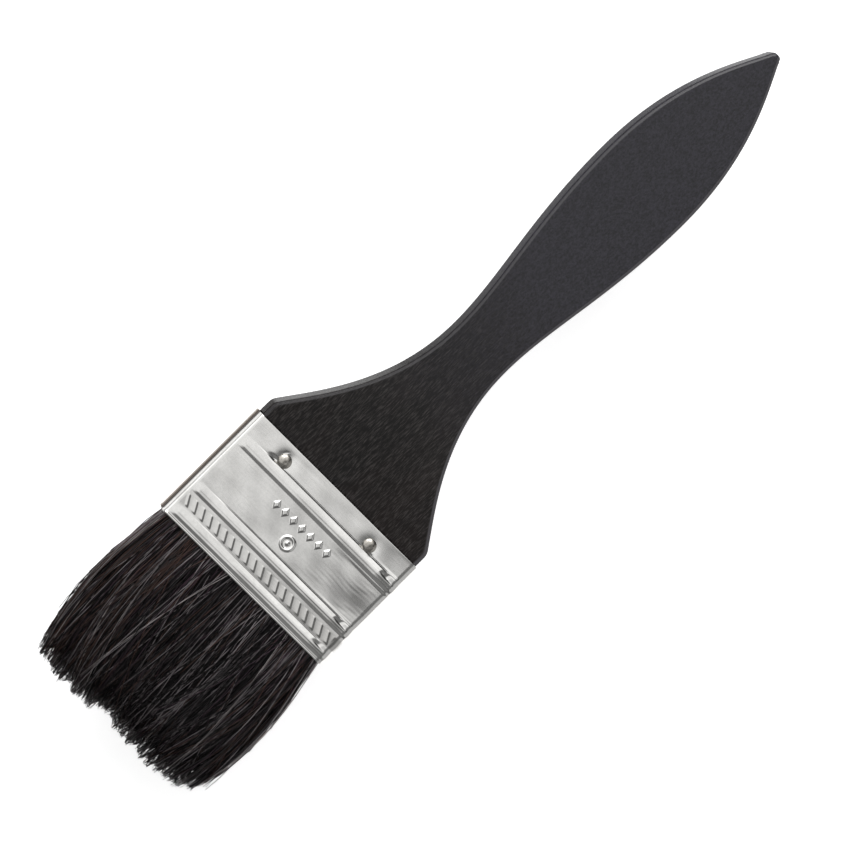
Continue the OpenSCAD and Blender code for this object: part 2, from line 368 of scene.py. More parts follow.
def raw_wood():
    """Sawn softwood with its grain along the plug."""
    n = Nodes("plug_wood")
    grain = n.noise((60, 1600, 1600), detail=5.0, roughness=0.6, distortion=0.4)
    woods = [(0.3, (0.36, 0.22, 0.11)), (0.55, (0.60, 0.43, 0.25)), (0.75, (0.70, 0.54, 0.35))]
    n.drive("Base Color", n.ramp(grain, woods))
    n.drive("Roughness", n.ramp(grain, [(0.3, 0.7), (0.7, 0.85)]))
    n.drive("Normal", n.bump(grain, 0.0001, 0.7))
    return n.material


def bristle_tone(name, colour, rough, gloss):
    """One tone of bristle, uneven along its length, partly as painted glints, and darker towards the tips as
    painted shade.
    """
    n = Nodes(name)
    bands = n.noise((1300, 160, 1300), detail=2.0)
    up = n.span("Y", tuft_lo[1], MOUTH_Y)
    glints_and_tone = n.ramp(bands, [(0.3, tuple(0.5 * c for c in colour)), (0.7, tuple(1.5 * c for c in colour))])
    tip_shade = n.ramp(up, [(0.1, 0.5), (0.6, 0.72), (0.9, 1.0)])
    n.drive("Base Color", n.mix(1.0, glints_and_tone, tip_shade, "MULTIPLY"))
    n.set(Roughness=rough, Specular_IOR_Level=gloss)
    return n.material


def pale_floor():
    """Plain white floor that glows a little, as a lit sweep of paper does."""
    n = Nodes("floor")
    grain = n.noise((40, 40, 40), detail=3.0)
    n.drive("Base Color", n.ramp(grain, [(0.3, (0.93, 0.93, 0.93)), (0.7, (0.95, 0.95, 0.95))]))
    n.set(Roughness=0.9, Emission_Color=(1, 1, 1, 1), Emission_Strength=0.62)
    return n.material


# ---------------------------------------------------------------- handle

HANDLE_T = handle_hi[2] - handle_lo[2]
HANDLE_EDGE_R = 0.55
SHOULDER_H = 0.07
SHOULDER_W = 0.12
TENON_INSET = 0.1
TENON_R = 1.6
TENON_BEVEL = 0.3
TIP_BLUNT = 0.8
PROFILE_STEP = 0.45


def handle_profile():
    """Half width at many places up the blade: the CAD handle's widest ring as a smooth curve."""
    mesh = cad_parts["handle"].data
    co = np.empty(len(mesh.vertices) * 3)
    mesh.vertices.foreach_get("co", co)
    co = co.reshape(-1, 3) / MM
    side = co[(co[:, 0] > 0) & (co[:, 1] > EDGE_Y - 0.001)]
    level = side[np.argmax(side[:, 0]), 2]
    ring = side[abs(side[:, 2] - level) < 0.001]
    ring = ring[np.unique(ring[:, 1].round(3), return_index=True)[1]]
    return smooth_curve(ring[:, :2], PROFILE_STEP)


def handle_section(hw, ht, rx, rz):
    """Closed loop of (x, z) round a flat section; a small shoulder leads to each rounded edge."""
    face, edge, side = 15, 9, 5
    edge_x = hw - rx - SHOULDER_W
    x = edge_x * np.sin(np.linspace(-1, 1, face) * math.pi / 2)
    z = np.full(face, ht)
    low = ht - SHOULDER_H
    a = np.linspace(0, math.pi / 2, edge)[:-1]
    cx, cz = hw - rx + rx * np.sin(a), low - rz + rz * np.cos(a)
    sz = np.linspace(1, -1, side) * (low - rz)
    loop_x = np.concatenate([x, cx, np.full(side, hw), cx[::-1], x[::-1], -cx, np.full(side, -hw), -cx[::-1]])
    loop_z = np.concatenate([z, cz, sz, -cz[::-1], -z, -cz, -sz, cz[::-1]])
    return loop_x, loop_z


def handle_stations():
    """Sections up the handle, as (y, half width, half thickness, edge radii): tenon, blade and blunt tip."""
    curve = handle_profile()
    lean = np.gradient(curve[:, 0], curve[:, 1])
    stretch = np.sqrt(1 + np.clip(lean, -2, 2) ** 2)
    ht = HANDLE_T / 2
    tenon_hw = curve[0, 0] - TENON_INSET
    tenon_ht = INNER_HT
    stations = [
        (handle_lo[1], tenon_hw - TENON_BEVEL, tenon_ht - TENON_BEVEL, TENON_R, TENON_R),
        (handle_lo[1] + TENON_BEVEL, tenon_hw, tenon_ht, TENON_R, TENON_R),
        (EDGE_Y, tenon_hw, tenon_ht, TENON_R, TENON_R),
    ]
    blunt_y = handle_hi[1] - TIP_BLUNT
    for (hw, y), s in zip(curve, stretch):
        if y < blunt_y:
            stations.append((y, hw, ht, min(HANDLE_EDGE_R * s, 0.62 * hw), HANDLE_EDGE_R))
    last_hw = stations[-1][1]
    for a in np.linspace(0, math.pi / 2, 7)[:-1]:
        inset = TIP_BLUNT * (1 - math.cos(a))
        hw = max(0.35, last_hw - 0.25 - inset)
        stations.append((blunt_y + TIP_BLUNT * math.sin(a), hw, ht - inset, 0.62 * hw, HANDLE_EDGE_R))
    return stations


def build_handle(material):
    """The painted handle and its tenon, as one closed skin over its sections."""
    rows = []
    for y, hw, ht, rx, rz in handle_stations():
        x, z = handle_section(hw, ht, rx, rz)
        rows.append(np.stack([x, np.full_like(x, y), MID_Z + z], axis=1))
    cols = len(rows[0])
    points = np.concatenate(rows)
    faces = grid_faces(len(rows), cols, wrap_cols=True)
    obj = add_mesh("handle_painted", points, faces, [material], end_loops(len(rows), cols))
    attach(obj, "stock")
    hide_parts("handle")
    return obj


# ---------------------------------------------------------------- ferrule

# In this section s, or a name that ends in _S, is a distance along the ferrule from its edge at the handle

# Where each rib starts, a third of its width, and how crisply it breaks away from the sheet
RIBS = ((5.5, 1.14, 1.0), (20.5, 1.0, 0.8), (27.5, 1.0, 0.3))
# The slope of a rib's section at places counted in thirds of its width
RIB_SLOPES = (
    (0.00, 0.0),
    (0.15, 0.20),
    (1.00, 0.20),
    (1.50, 0.12),
    (1.62, -0.02),
    (1.72, -0.20),
    (1.86, -0.02),
    (2.05, 0.02),
    (2.26, -0.05),
    (2.38, -0.55),
    (2.90, -0.60),
    (3.06, 0.0),
)
# How much of a rib's height is a sharp step at its start
RIB_STEP = 0.19
# Where each rib starts to drop near the right corner, and over what length
RIB_END_X = 19.5
RIB_END_W = 2.3
ROPE_S = 25.85
ROPE_X = 1.25
ROPE_COUNT = 21
ROPE_PITCH = 2.38
ROPE_H = 0.082
ROPE_SLANT = math.radians(30)
LOZENGE_S = 12.2
LOZENGE_PITCH = 2.7
RING_S = 16.9
RING_R = 1.55
LIP_S = 31.15
# The fold's height over the middle of the left side, and the right corners' radius
SEAM_Z = 0.5
RIGHT_R = 1.9
# The sheet's two cut edges: how far in from the end, and how far under the outside
MOUTH_EDGE = ((0.03, 0.06), (0, 0.2), (0.03, 0.34), (0.2, SHEET))
HANDLE_EDGE = ((0.1, SHEET), (0.0, 0.34), (0.0, 0.08))
# Which side of the ferrule a column of points is on
FRONT, RIGHT, BACK, LEFT, CORNER = range(5)


def corner(cx, cz, r, start, side):
    """A quarter turn round (cx, cz), clockwise from an angle measured from straight up."""
    angles = start + np.linspace(0, math.pi / 2, 4 + int(4 * r))[1:-1]
    return [(cx + r * math.sin(a), cz + r * math.cos(a), math.sin(a), math.cos(a), side) for a in angles]


def sheet_path():
    """Round the ferrule: x, z, outward normal, and which side each column is on."""
    fx, fz, r = FERRULE_HW, FERRULE_HT, CORNER_R
    seam = np.linspace(SEAM_Z - 0.25, SEAM_Z + 0.25, 13)
    below = np.linspace(r - fz, SEAM_Z - 0.35, 12)
    above = np.linspace(SEAM_Z + 0.35, fz - r, 12)
    left = np.concatenate([below, seam, above])
    quarter = math.pi / 2
    columns = [(x, fz, 0, 1, FRONT) for x in np.linspace(r - fx, fx - RIGHT_R, 430)]
    columns += corner(fx - RIGHT_R, fz - RIGHT_R, RIGHT_R, 0, CORNER)
    columns += [(fx, z, 1, 0, RIGHT) for z in np.linspace(fz - RIGHT_R, RIGHT_R - fz, 18)]
    columns += corner(fx - RIGHT_R, RIGHT_R - fz, RIGHT_R, quarter, CORNER)
    columns += [(x, -fz, 0, -1, BACK) for x in np.linspace(fx - RIGHT_R, r - fx, 250)]
    columns += corner(r - fx, r - fz, r, 2 * quarter, CORNER)
    columns += [(-fx, z, -1, 0, LEFT) for z in left]
    columns += corner(r - fx, fz - r, r, 3 * quarter, CORNER)
    return np.array(columns)


def rib_curve():
    """A rolled rib's section, added up from its slopes: a long rise, a small step and a short fall."""
    u = np.linspace(-0.4, 3.4, 400)
    slope = np.interp(u, *np.array(RIB_SLOPES).T, left=0, right=0)
    h = np.cumsum(slope) * (u[1] - u[0])
    h -= h[-1] * smoothstep(u, 2.2, 3.05)
    return u, h * (RIB_H - RIB_STEP) / h.max()


def rib_end(x, t):
    """How a rib drops into a slanted dent near the right end of a face and runs on, low, to the corner."""
    start = RIB_END_X - 0.35 * (t - 0.75)
    low = smoothstep(t, 0.9, 1.5)
    drop = smoothstep(x, start, start + RIB_END_W + 3.4 * low)
    rise = smoothstep(x, start + RIB_END_W, start + RIB_END_W + 0.9)
    return 1 - (1.1 - 0.6 * low) * drop + 0.3 * (1 - low) * rise


def ribs_height(s, crisp, x=None):
    """All the ribs across the sheet; crisp, from 0 to 1, is how sharply they break away from it."""
    u, section = rib_curve()
    h = np.zeros_like(s)
    for start, third, own in RIBS:
        t = (s - start) / third
        break_away = crisp * own
        step = RIB_STEP * np.clip(t / 0.2, 0, 1) * (1 - smoothstep(t, 2.3, 3.0))
        rib = np.interp(t, u, section)
        if x is not None:
            rib = rib * (0.6 + 0.4 * smoothstep(x, -12, 8))
        rib = rib + break_away * step - 0.05 * break_away * gauss(t + 0.05, 0.09)
        if x is not None:
            rib = rib * rib_end(x, t)
        h = np.where((t > -0.5) & (t < 3.3), rib, h)
    return h


def rope_height(x, s):
    """Slanted strands in a row, each rising slowly from the left and dropping at its right flank."""
    place = (x - ROPE_X - (s - ROPE_S) * math.tan(ROPE_SLANT)) / ROPE_PITCH + ROPE_COUNT / 2
    inside = smoothstep(place, 0.0, 0.25) * (1 - smoothstep(place, ROPE_COUNT - 0.25, ROPE_COUNT))
    turn = (place - 0.5) % 1
    strand = np.where(turn < 0.78, (turn / 0.78) ** 2.4, 1 - smoothstep(turn, 0.78, 1.0))
    window = smoothstep(s, ROPE_S - 1.55, ROPE_S - 1.15) * (1 - smoothstep(s, ROPE_S + 0.85, ROPE_S + 1.35))
    return ROPE_H * strand * window * inside


def rope_shear(x, s):
    """How far the sheet's columns of points slant near the rope, so that they run along its strands."""
    near = smoothstep(s, ROPE_S - 4, ROPE_S - 2.2) * (1 - smoothstep(s, ROPE_S + 2.2, ROPE_S + 4))
    inner = smoothstep(FERRULE_HW - RIGHT_R - abs(x + 0.35), 0, 2.6)
    return np.clip(s - ROPE_S, -1.9, 1.9) * math.tan(ROPE_SLANT) * near * inner


def ornament_height(x, s):
    """A row of raised lozenges over a small ring, in place of the maker's size mark."""
    h = np.zeros_like(x)
    for i in range(-3, 4):
        d = abs(x - LOZENGE_PITCH * i) / 1.05 + abs(s - LOZENGE_S) / 1.35
        h = np.maximum(h, 0.17 * smoothstep(1 - d, 0, 0.45))
    ring = np.hypot(x, s - RING_S)
    h = np.maximum(h, 0.16 * np.clip(1 - ((ring - RING_R) / 0.42) ** 2, 0, 1))
    return np.maximum(h, 0.16 * np.clip(1 - (ring / 0.6) ** 2, 0, 1))


def nail_hollows(x, s):
    """How deep the sheet is pressed in round each nail."""
    deep = np.zeros_like(x)
    for side, most in ((-1, 0.24), (1, 0.14)):
        ring = np.hypot(x - side * NAIL_X, s - NAIL_S)
        deep += most * gauss(ring, 1.9) * smoothstep(s, 0, 1.6) * (1 - 0.6 * smoothstep(s, 5.4, 5.8))
    return deep


def knocks(x, s):
    """How deep the crease and the two small dents by the nails are."""
    crease = abs((x + NAIL_X + 1.3) * 0.75 + (s - NAIL_S + 1.5) * 0.66)
    deep = 0.06 * gauss(crease, 0.22) * gauss(np.hypot(x + NAIL_X + 1.3, s - NAIL_S + 1.5), 0.7)
    deep += 0.24 * gauss(np.hypot((x + NAIL_X + 2.1) / 1.2, (s - NAIL_S - 1.1) / 0.45), 1)
    return deep + 0.10 * gauss(np.hypot((x - NAIL_X - 1.8) / 0.7, (s - NAIL_S - 1.3) / 0.35), 1)


def panel_relief(x, s):
    """The plain panels sink towards the right, and the wide one has faint streaks across its right half."""
    wide = smoothstep(s, 9.2, 10.0) * (1 - smoothstep(s, 19.6, 20.3))
    narrow = smoothstep(s, -1.5, 1.0) * (1 - smoothstep(s, 4.6, 5.4))
    edge = FERRULE_HW - CORNER_R
    h = 0.008 * smoothstep(-x, edge - 3.0, edge - 0.6) * wide
    h -= 0.19 * smoothstep(x, 4, 25) ** 1.5 * wide
    h -= 0.12 * smoothstep(x, 12, 25) ** 1.5 * narrow
    streak = np.sin(s * 4.3 + 1.3 * np.sin(x * 0.27) + 0.8 * np.sin(x * 0.63))
    streak *= np.sin(s * 1.9 - x * 0.21 + 1.0) * (0.55 + 0.45 * np.sin(x * 0.48 + s * 0.9))
    h += 0.008 * streak * smoothstep(x, 2, 14) * wide
    return h + 0.045 * np.sin((s - 10.2) * 0.72) * smoothstep(x, 6, 20) * wide


def sheet_waves(x, s):
    """Slight waviness of the whole sheet."""
    wave = np.sin(x * 0.21 + 0.9) * np.sin(s * 0.34 + 0.4) + 0.6 * np.sin(x * 0.47 + s * 0.26 + 2.0)
    wave += 0.35 * np.sin(x * 0.93 - s * 0.71 + 0.5) + 0.22 * np.sin(x * 0.31 + s * 1.35)
    return 0.018 * wave * smoothstep(s, 0.0, 2.0)


def face_height(x, s, mark):
    """Embossing of a broad face over the plain sheet; s runs from the handle's side to the mouth."""
    h = ribs_height(s, smoothstep(x, -23, -4), x) * smoothstep(x, -24.7, -22.6)
    h += rope_height(x, s) * smoothstep(FERRULE_HW - RIGHT_R - x, 0.0, 0.6)
    h += 0.14 * lobe(s, LIP_S, 0.40)
    h += panel_relief(x, s) + sheet_waves(x, s) - nail_hollows(x, s)
    if mark:
        h += ornament_height(x, s) - knocks(x, s)
    return h


def side_height(z, s, seam):
    """Embossing of a narrow side: the ribs run on round one, and the other has the folded seam instead."""
    h = 0.14 + 0.12 * lobe(s, LIP_S, 0.40)
    if not seam:
        return h + 0.16 + 0.8 * ribs_height(s, 0) + 0.14 * lobe(s, ROPE_S, 1.5)
    fold = 1 - smoothstep(z, SEAM_Z - 0.06, SEAM_Z + 0.02)
    run = smoothstep(s, -0.1, 0.2) * (1 - smoothstep(s, FERRULE_LEN - 0.5, FERRULE_LEN - 0.1))
    h += 0.15 * fold * smoothstep(z, -FERRULE_HT, -1.5) * run
    return h - 0.25 * gauss(z - SEAM_Z - 0.08, 0.12) * run


def corner_height(s, nx, nz):
    """Embossing of the rounded corners: the broad face's, turning into the narrow side's."""
    face = np.where(nx > 0, face_height(np.full_like(s, FERRULE_HW - RIGHT_R), s, False), 0)
    face = np.where(nx < 0, face_height(np.full_like(s, CORNER_R - FERRULE_HW), s, False), face)
    side = np.where(nx > 0, side_height(0, s, False), side_height(FERRULE_HT * np.sign(nz), s, True))
    return nz**2 * face + nx**2 * side


def sheet_rows():
    """Where the sheet has rows of points along the brush: closer together at the creases of the ribs."""
    fine = np.linspace(0.10, FERRULE_LEN - 0.12, 4000)
    density = 7.5 + 3 * smoothstep(fine, 19.5, 20.5)
    for start, third, _ in RIBS:
        density += 14 * gauss(fine - start, 0.45) + 5 * gauss(fine - start - 2.6 * third, 0.5)
    total = np.cumsum(density) * (fine[1] - fine[0])
    return np.interp(np.linspace(total[0], total[-1], int(total[-1])), total, fine)


def sheet_relief(path, rows):
    """Each point's place across the brush and its height over the plain sheet, for every row and column."""
    s, c = np.meshgrid(rows, np.arange(len(path)), indexing="ij")
    x, z, nx, nz, side = (path[:, i][c] for i in range(5))
    x = x + np.where((side == FRONT) | (side == BACK), rope_shear(x, s), 0)
    h = np.where(side == FRONT, face_height(x, s, True), corner_height(s, nx, nz))
    h = np.where(side == BACK, face_height(x, s, False), h)
    h = np.where(side == RIGHT, side_height(z, s, False), h)
    h = np.where(side == LEFT, side_height(z, s, True), h)
    return x, h


def build_ferrule(material):
    """The ferrule as one closed skin: embossed outside, edge at the mouth, inside, edge at the handle."""
    path = sheet_path()
    rows = sheet_rows()
    x, h = sheet_relief(path, rows)
    level = np.zeros(len(path))
    base = path[:, 0]
    outer = [(rows[i], h[i], x[i]) for i in range(len(rows))]
    lip = [(FERRULE_LEN - up, level - down, base) for up, down in MOUTH_EDGE]
    inner = [(v, level - SHEET, base) for v in np.linspace(FERRULE_LEN - 1, 1, 10)]
    top = [(v, level - down, base) for v, down in HANDLE_EDGE]
    points = []
    for v, height, place in outer + lip + inner + top:
        height = np.minimum(height, RIB_H + 0.1)
        px = place + path[:, 2] * height
        pz = path[:, 1] + path[:, 3] * height
        points.append(np.stack([px, np.full_like(px, EDGE_Y - v), MID_Z + pz], axis=1))
    faces = grid_faces(len(points), len(path), wrap_rows=True, wrap_cols=True)
    obj = add_mesh("ferrule_sheet", np.concatenate(points), faces, [material], flip=True)
    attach(obj, "stock")
    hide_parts("ferrule")
    return obj


# ---------------------------------------------------------------- nails

NAIL_SIDES = 40
SHANK_R = 0.7
POINT_LEN = 1.4


def build_nail(node, side, face, material):
    """A round-headed nail, lathed about its own axis, with a slightly beaten head."""
    under = RIB_H - NAIL_LEN
    profile = [(NAIL_R * t, RIB_H * (1 - t**2.6)) for t in np.linspace(0.02, 1, 12)]
    profile += [(NAIL_R, -0.05), (NAIL_R - 0.1, -0.14), (SHANK_R + 0.15, -0.16), (SHANK_R, -0.3)]
    profile += [(SHANK_R, under + POINT_LEN), (0.05, under)]
    angle = np.arange(NAIL_SIDES) / NAIL_SIDES * 2 * math.pi
    rows = []
    for radius, height in profile:
        dent = 0.0
        if height > 0:
            ring_x, ring_y = radius * np.cos(angle), radius * np.sin(angle)
            dent = 0.05 * gauss(np.hypot(ring_x - 0.35, ring_y + 0.1), 0.5)
        px = side * NAIL_X + radius * np.cos(angle)
        py = EDGE_Y - NAIL_S + radius * np.sin(angle)
        pz = np.full(NAIL_SIDES, FERRULE_HT + height) - dent
        rows.append(np.stack([px, py, MID_Z + face * pz], axis=1))
    faces = grid_faces(len(rows), NAIL_SIDES, wrap_cols=True)
    ends = end_loops(len(rows), NAIL_SIDES)
    obj = add_mesh(node + "_head", np.concatenate(rows), faces, [material], ends, flip=face > 0)
    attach(obj, "stock")
    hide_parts(node)
    return obj


# ---------------------------------------------------------------- bristles

LAYER_COUNT = 3300
RINGS = 11
SIDES = 3
BRISTLE_R = 0.12
CLUMPS = 62
LOCKS = 62
WILD_SHARE = 0.36
LOCKED_SHARE = 0.28
# How far from the middle a bristle may reach
REACH_X = 28.8
# Shares of the bristles at which one tone gives way to the next
TONE_STEPS = (0.54, 0.69, 0.78, 0.84, 0.992)
# More of them are brown to the left of here, and the share that stands for brown
BROWN_X = -14
BROWN_TONE = 0.81
# A few bristles that stand out on the front: where they leave the mouth, their lean, curl and tone; their
# grey and pale tones are painted sheen on hairs that catch the light
STRAYS = (
    (-4.3, -0.30, 3.2, 0.995),
    (-4.9, -0.24, 1.5, 0.95),
    (14.9, 0.05, 0.5, 0.998),
    (15.3, 0.03, 1.4, 0.95),
    (24.9, 0.04, -0.6, 0.995),
    (24.6, 0.11, -1.0, 0.95),
    (-24.8, -0.05, 0.8, 0.95),
    (-8.0, -0.16, 2.0, 0.95),
    (5.5, 0.12, -1.5, 0.95),
    (-18.0, 0.14, 1.0, 0.90),
    (-21.0, 0.10, -2.0, 0.90),
)


def tuft_spread(u):
    """How wide the tuft is at a share u of its length, against its width at the mouth."""
    return 1 + 0.065 * np.sin(np.pi * np.clip(u / 0.95, 0, 1)) ** 0.9 - 0.105 * u**3


def tuft_end(x):
    """How far the tuft's end is cut back at each place across it: a hollow and rounded corners."""
    hollow = 1.7 * gauss(x - 0.3, 3.2)
    return hollow + 1.6 * smoothstep(x, 20, 26) + 2.0 * smoothstep(-x, 20, 25)


def tuft_gaps(x):
    """Narrow gaps in the tuft's end, shared by both layers."""
    r = np.random.default_rng(61)
    count = 60
    place = r.uniform(-1, 1, count) * INNER_HW
    depth = r.gamma(1.8, 1.3, count)
    width = r.uniform(0.22, 0.6, count)
    return (gauss(x[:, None] - place, width) * depth).max(axis=1)


def join_clumps(b, r):
    """Lets each bristle join a clump near it, which pulls it in and sets how it leans and where it ends."""
    count = len(b.x0)
    x = ((np.arange(CLUMPS) + r.uniform(0, 1, CLUMPS)) / CLUMPS * 2 - 1) * INNER_HW
    depth = r.uniform(0.1, 0.95, CLUMPS)
    pull = r.uniform(0.6, 1.0, CLUMPS)
    lean = r.normal(0, 0.075, CLUMPS)
    short = r.gamma(1.2, 0.5, CLUMPS)
    gap = np.hypot(b.x0[:, None] - x, (b.depth[:, None] - depth) * 2.2)
    mine = np.argmin(gap + r.uniform(0, 0.7, (count, CLUMPS)), axis=1)
    b.clump_x, b.clump_depth, b.clump_lean, b.clump_short = x[mine], depth[mine], lean[mine], short[mine]
    b.pull = pull[mine] * r.uniform(0.35, 1, count)
    b.gap = np.take_along_axis(gap, mine[:, None], axis=1)[:, 0]


def start_bristles(count, face, r):
    """A layer's bristles as they leave the mouth: place, tone, and how each leans, curls and lifts."""
    b = SimpleNamespace()
    b.x0 = r.uniform(-1, 1, count) * (INNER_HW - 0.15)
    b.depth = r.uniform(0, 1, count)
    b.tone = r.uniform(0, 1, count)
    join_clumps(b, r)
    b.edge = abs(b.x0) / INNER_HW
    b.lean = b.clump_lean * 0.8 + r.normal(0, 0.055, count)
    wild = r.uniform(0, 1, count) < WILD_SHARE
    b.lean = np.where(wild, b.lean + r.normal(0, 0.15, count), b.lean)
    b.curl = r.normal(0, 2.3, count) * np.where(wild, 1.6, 1)
    b.lift = r.normal(0, 0.020, count)
    b.slack = r.gamma(1.2, 0.35, count)
    b.tone = np.where((b.x0 < BROWN_X) & (b.tone < 0.25), BROWN_TONE, b.tone)
    if face > 0:
        n = len(STRAYS)
        b.x0[:n], b.lean[:n], b.curl[:n], b.tone[:n] = np.array(STRAYS).T
        b.depth[:n], b.pull[:n], b.lift[:n], b.edge[:n] = 0.97, 0.0, 0.012, 0.5
    outward = np.sign(b.lean) == np.sign(b.x0)
    b.fade = np.where(outward, np.clip(1.2 - b.edge**3, 0.25, 1), 1)
    return b


def across(b, d):
    """Where each bristle is across the brush at each distance d from the mouth."""
    share = d / BRISTLE_LEN
    spread = tuft_spread(share)
    x = b.x0[:, None] * spread
    x += (b.clump_x[:, None] * spread - x) * b.pull[:, None] * share**2.6 * 0.9
    x += (b.lean[:, None] * d + b.curl[:, None] * share**2 * (1.3 - 0.3 * share)) * b.fade[:, None]
    room = INNER_HW * spread - 0.5
    over = np.maximum(abs(x) - room, 0)
    x = np.sign(x) * (np.minimum(abs(x), room) + (0.6 + b.slack[:, None]) * np.tanh(over / 1.6))
    bulge = np.sin(np.pi * np.clip(share, 0, 1)) * smoothstep(b.x0, 0, 25)[:, None]
    return x + 1.9 * share**1.5 + 0.7 * bulge


def cut_bristles(b, r):
    """How short each bristle is: some gather in pointed locks, most end blunt, and the sides are frayed."""
    count = len(b.x0)
    tip_x = across(b, np.full((count, 1), BRISTLE_LEN))[:, 0]
    lock_x = (np.arange(LOCKS) + r.uniform(0, 1, LOCKS)) / LOCKS * 2 - 1
    lock_x = lock_x * (tip_x.max() - tip_x.min()) / 2 + (tip_x.max() + tip_x.min()) / 2
    lock_short = r.gamma(1.7, 0.75, LOCKS)
    nearest = np.argmin(abs(tip_x[:, None] - lock_x), axis=1)
    aside = lock_x[nearest] - tip_x
    locked = r.uniform(0, 1, count) < LOCKED_SHARE
    pointed = lock_short[nearest] + 2.2 * abs(aside) + r.gamma(1.0, 0.2, count) + 0.35 * tuft_gaps(tip_x)
    outer = np.clip(b.gap / 0.9, 0, 1.6)
    blunt = 2.9 + b.clump_short + 0.6 * outer + r.gamma(1.6, 0.55, count) + tuft_gaps(tip_x)
    short = np.where(locked, pointed, blunt) + tuft_end(tip_x)
    short = np.where(r.uniform(0, 1, count) < 0.10, short + r.uniform(2, 16, count), short)
    frayed = (b.edge > 0.9) & (r.uniform(0, 1, count) < 0.45)
    short = np.where(frayed, r.uniform(3, 36, count), short)
    b.stand_out = np.where(frayed, r.uniform(0.1, 0.8, count), 0) * np.sign(b.x0)
    b.aside = np.where(locked, 0.85 * aside, 0)
    b.length = np.clip(BRISTLE_LEN - 0.2 - short, 12, BRISTLE_LEN)


def through(b, face, d):
    """Where each bristle is through the brush's thickness at each distance d from the mouth."""
    share = d / BRISTLE_LEN
    round_corner = 1.6 * np.clip((b.edge - 0.93) / 0.07, 0, 1) ** 2
    z_mouth = face * (0.05 + b.depth * (INNER_HT - 0.2 - round_corner))
    gather = b.pull[:, None] * share**2.6 * 0.6
    z = z_mouth[:, None] * (1 + 0.14 * np.sin(np.pi * share) - 0.35 * share**2.2)
    z += (face * b.clump_depth[:, None] * INNER_HT * 0.7 - z) * gather
    z += b.lift[:, None] * d * (1 - share)
    z = np.clip(z, -INNER_HT - 0.35, INNER_HT + 0.35)
    z[:, :2] = z_mouth[:, None]
    return z


def bristle_paths(count, face, seed):
    """Centre lines of a layer's bristles, from the mouth to their tips, with their radii and tones."""
    r = np.random.default_rng(seed)
    b = start_bristles(count, face, r)
    cut_bristles(b, r)
    u = np.concatenate([[0.0], np.linspace(0, 1, RINGS - 1) ** 0.92])
    d = b.length[:, None] * u
    share = d / BRISTLE_LEN
    x = across(b, d) + r.normal(0, 0.11, (count, RINGS)) * share
    x += b.aside[:, None] * smoothstep(share, 0.7, 0.98) + b.stand_out[:, None] * u**3
    x = np.clip(x, -REACH_X, REACH_X)
    x[:, :2] = b.x0[:, None]
    y = MOUTH_Y - d
    y[:, 0] = MOUTH_Y + 0.9
    z = through(b, face, d)
    taper = np.interp(u, [0, 0.7, 1], [1, 1, 0.75])
    radius = BRISTLE_R * r.uniform(0.75, 1.15, count)[:, None] * taper
    return np.stack([x, y, MID_Z + z], axis=2), radius, b.tone


def tube_mesh(name, path, radius, slots, materials):
    """Thin tubes of SIDES sides along each path, closed at both ends."""
    count, rings, _ = path.shape
    along = np.gradient(path, axis=1)
    along /= np.linalg.norm(along, axis=2, keepdims=True)
    across = np.cross(along, np.array([0.0, 0.0, 1.0]))
    across /= np.maximum(np.linalg.norm(across, axis=2, keepdims=True), 1e-9)
    up = np.cross(across, along)
    angle = np.arange(SIDES) / SIDES * 2 * math.pi
    start = np.random.default_rng(5).uniform(0, 2 * math.pi, count)
    a = start[:, None] + angle
    ca, sa = np.cos(a)[:, None, :, None], np.sin(a)[:, None, :, None]
    outward = across[:, :, None, :] * ca + up[:, :, None, :] * sa
    points = path[:, :, None, :] + radius[:, :, None, None] * outward
    one = grid_faces(rings, SIDES, wrap_cols=True)
    first_point = np.arange(count)[:, None, None] * rings * SIDES
    faces = (first_point + one[None]).reshape(-1, 4)
    ends = (first_point + np.array(end_loops(rings, SIDES))[None]).reshape(-1, SIDES)
    obj = add_mesh(name, points.reshape(-1, 3), faces, materials, ends.tolist(), flip=True)
    face_slots = np.concatenate([np.repeat(slots, len(one)), np.repeat(slots, 2)])
    obj.data.polygons.foreach_set("material_index", face_slots.astype(np.int32))
    obj.data.update()
    return obj


def build_layer(name, node, face, seed, materials):
    """One layer of bristles as thin tubes that curve away from the mouth, in place of its CAD node."""
    path, radius, tone = bristle_paths(LAYER_COUNT, face, seed)
    slots = np.searchsorted(TONE_STEPS, tone)
    obj = tube_mesh(name, path, radius, slots, materials)
    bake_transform(obj)
    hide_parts(node)
    return obj


# ---------------------------------------------------------------- studio

TILT = math.radians(10)
DISTANCE = 0.85
LENS = 155
# The point that the camera looks at, a little off the brush's middle
LOOK_AT = Vector((5.4, EDGE_Y + 24.15, MID_Z)) * MM
ROLL = math.radians(0.2)
STUDIO_GREY = 0.055
FLOOR_DROP = 0.62 * BRISTLE_LEN


def build_camera():
    """Above the brush, a little to its left, and rolled so that the brush lies on the diagonal."""
    data = bpy.data.cameras.new("camera")
    camera = bpy.data.objects.new("camera", data)
    bpy.context.scene.collection.objects.link(camera)
    back = Vector((-math.sin(TILT), 0, math.cos(TILT)))
    across = Vector((math.cos(TILT), 0, math.sin(TILT)))
    along = Vector((0, 1, 0))
    turn = math.radians(45) + ROLL
    right = across * math.cos(turn) + along * math.sin(turn)
    up = along * math.cos(turn) - across * math.sin(turn)
    turned = Matrix((right, up, back)).transposed().to_4x4()
    camera.matrix_world = Matrix.Translation(LOOK_AT + back * DISTANCE) @ turned
    data.lens = LENS
    data.sensor_width = 36
    data.clip_end = 10
    bpy.context.scene.camera = camera


